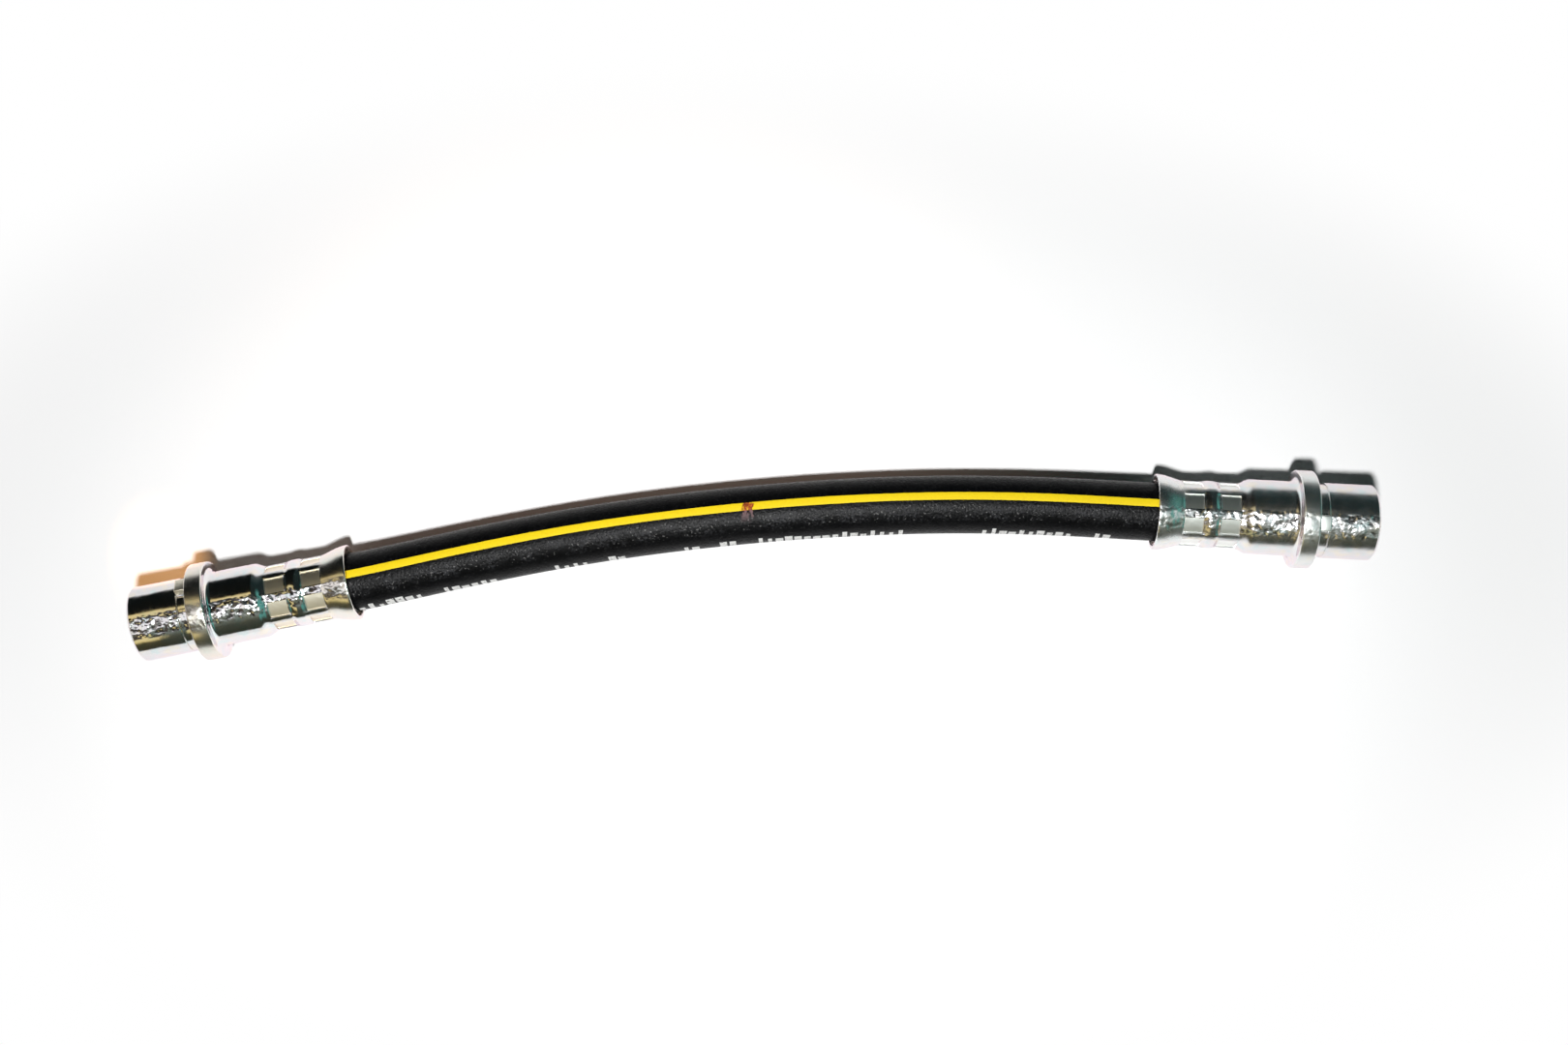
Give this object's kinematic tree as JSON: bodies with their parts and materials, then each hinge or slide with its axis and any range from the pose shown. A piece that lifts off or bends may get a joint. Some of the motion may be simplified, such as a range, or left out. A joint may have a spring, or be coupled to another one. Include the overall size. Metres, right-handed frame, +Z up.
{
  "type": "brake hose",
  "caption": "Short hydraulic brake hose in black rubber with a yellow stripe, crimped at both ends into plated steel fittings with a flange, index lug and threaded socket.",
  "frame": {"origin": "centre of the overall box, on the surface that the hose lies on", "axes": "+X from the left fitting to the right one, +Y towards the side that the hose bows to, +Z up from the surface"},
  "size_m": [0.2212, 0.034, 0.0176],
  "materials": {
    "cover_rubber": "matt black rubber with a fine cloth-wrap grain",
    "liner_rubber": "plain black rubber",
    "braid_yarn": "braided off-white textile yarn",
    "stripe_paint": "printed yellow marking ink",
    "zinc_plate": "bright zinc plate with turning marks and jaw marks",
    "insert_steel": "plain turned steel"
  },
  "bodies": {
    "root": {"inner_liner": "liner_rubber", "inner_braid": "braid_yarn", "cushion_layer": "liner_rubber", "outer_braid": "braid_yarn", "outer_cover": "cover_rubber", "marking_stripe": "stripe_paint", "left_end_fitting": "zinc_plate", "left_insert": "insert_steel", "right_end_fitting": "zinc_plate", "right_insert": "insert_steel"}
  },
  "joints": []
}
